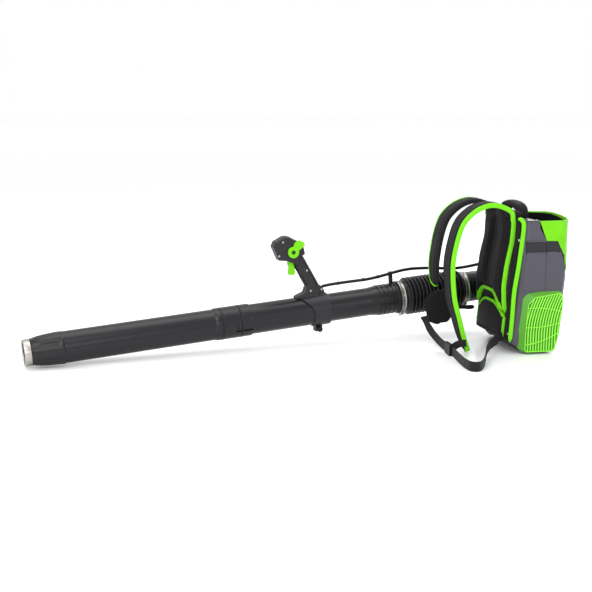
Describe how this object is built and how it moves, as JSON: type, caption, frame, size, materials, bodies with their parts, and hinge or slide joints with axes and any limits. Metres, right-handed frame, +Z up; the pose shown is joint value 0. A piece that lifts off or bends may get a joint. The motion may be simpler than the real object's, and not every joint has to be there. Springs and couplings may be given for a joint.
{
  "type": "leaf blower",
  "caption": "Battery backpack leaf blower: padded harness and housing, flexible hose, blower tube with a control handle.",
  "frame": {"origin": "on the flat base the pack stands on, in the pack's left-right mid-plane, under its battery opening", "axes": "+Z up out of the battery opening, -X the way the wearer faces and the tube blows, +Y the wearer's right"},
  "size_m": [1.6569, 0.5858, 0.4691],
  "materials": {
    "housing_grey": "satin moulded",
    "black_plastic": "satin moulded",
    "tube_black": "semi-gloss",
    "lime_plastic": "semi-gloss",
    "soft_rubber": "matte",
    "harness_cloth": "woven",
    "webbing": "woven tape",
    "steel": "brushed",
    "copper": "wound",
    "board": "solder mask",
    "heat_sink_alu": "extruded"
  },
  "bodies": {
    "pack": {"front_shell": "housing_grey", "rear_shell": "housing_grey", "upper_hood": "lime_plastic", "side_cover_left": "lime_plastic", "side_cover_right": "lime_plastic", "shell_screws": "steel", "base_pad": "soft_rubber", "battery_bay": "black_plastic", "terminal_block": "black_plastic", "controller_board": "board", "heat_sink": "heat_sink_alu", "fan_duct": "black_plastic", "inlet_bell": "black_plastic", "motor_end_cap": "black_plastic", "motor_stator": "copper", "motor_bearings": "steel", "outlet_elbow": "black_plastic", "elbow_screws": "steel", "rear_clamp_band": "steel", "rear_clamp_screw": "steel", "bellows_rear": "soft_rubber", "harness_frame": "black_plastic", "back_pad": "harness_cloth", "pad_rivets": "steel", "grab_handle": "black_plastic", "shoulder_strap_left": "harness_cloth", "shoulder_strap_right": "harness_cloth", "hip_wing_left": "harness_cloth", "hip_wing_right": "harness_cloth", "waist_webbing_left": "webbing", "waist_webbing_right": "webbing", "webbing_tail": "webbing", "buckle_socket": "black_plastic", "cable_gland": "soft_rubber", "cable_rear": "soft_rubber"},
    "fan": {"impeller": "black_plastic", "motor_rotor": "steel", "fan_shaft": "steel", "impeller_nut": "steel"},
    "battery": {"battery_case": "black_plastic"},
    "latch": {"battery_latch": "lime_plastic"},
    "hose": {"bellows_middle": "soft_rubber", "cable_middle": "soft_rubber"},
    "tube": {"bellows_front": "soft_rubber", "front_clamp_band": "steel", "front_clamp_screw": "steel", "swivel_tube": "tube_black", "main_tube": "tube_black", "cable_clip": "black_plastic", "cable_front": "soft_rubber"},
    "nozzle": {"nozzle_tube": "tube_black", "nozzle_ring": "steel"},
    "handle": {"handle_left": "housing_grey", "handle_right": "housing_grey", "handle_screws": "steel", "throttle_switch": "black_plastic"},
    "trigger": {"trigger": "lime_plastic"},
    "cruise": {"cruise_lever": "lime_plastic"},
    "knob": {"clamp_knob": "black_plastic"},
    "tongue": {"buckle_tongue": "black_plastic"}
  },
  "joints": [
    {"name": "fan_spin", "type": "hinge", "parent": "pack", "child": "fan", "pos_m": [-0.014, 0, 0.165], "axis": [0, 1, 0], "continuous": true},
    {"name": "battery_slide", "type": "slide", "parent": "pack", "child": "battery", "axis": [0, 0, 1], "range_m": [0, 0.19]},
    {"name": "latch_press", "type": "slide", "parent": "battery", "child": "latch", "axis": [0, 0, -1], "range_m": [0, 0.004], "stiffness_N_per_m": 400, "springref_m": -0.002},
    {"name": "hose_yaw", "type": "hinge", "parent": "pack", "child": "hose", "pos_m": [-0.19228, 0.18909, 0.15163], "axis": [-0.076, -0.0107, 0.9971], "range_deg": [-30, 15], "stiffness_Nm_per_rad": 4, "deforming": ["bellows_rear", "cable_rear"]},
    {"name": "hose_pitch", "type": "hinge", "parent": "hose", "child": "tube", "pos_m": [-0.2999, 0.17397, 0.14327], "axis": [-0.1392, 0.9903, 0], "range_deg": [-15, 30], "stiffness_Nm_per_rad": 4, "deforming": ["bellows_front", "cable_middle"]},
    {"name": "nozzle_twist", "type": "hinge", "parent": "tube", "child": "nozzle", "pos_m": [-0.92588, 0.08599, 0.09463], "axis": [-0.9873, -0.1388, -0.0767], "range_deg": [0, 25]},
    {"name": "handle_slide", "type": "slide", "parent": "tube", "child": "handle", "axis": [-0.9873, -0.1388, -0.0767], "range_m": [0, 0.06], "deforming": ["cable_front"]},
    {"name": "trigger_pull", "type": "hinge", "parent": "handle", "child": "trigger", "pos_m": [-0.74193, 0.11184, 0.28744], "axis": [0.1392, -0.9903, 0], "range_deg": [0, 14], "stiffness_Nm_per_rad": 0.3, "springref_deg": -17.19},
    {"name": "cruise_turn", "type": "hinge", "parent": "handle", "child": "cruise", "pos_m": [-0.73548, 0.11275, 0.307], "axis": [-0.1392, 0.9903, 0], "range_deg": [0, 45]},
    {"name": "knob_turn", "type": "hinge", "parent": "handle", "child": "knob", "pos_m": [-0.64471, 0.12551, 0.05429], "axis": [-0.1392, 0.9903, 0], "continuous": true},
    {"name": "buckle_release", "type": "slide", "parent": "pack", "child": "tongue", "axis": [0, 0.9994, 0.0349], "range_m": [0, 0.018]}
  ]
}
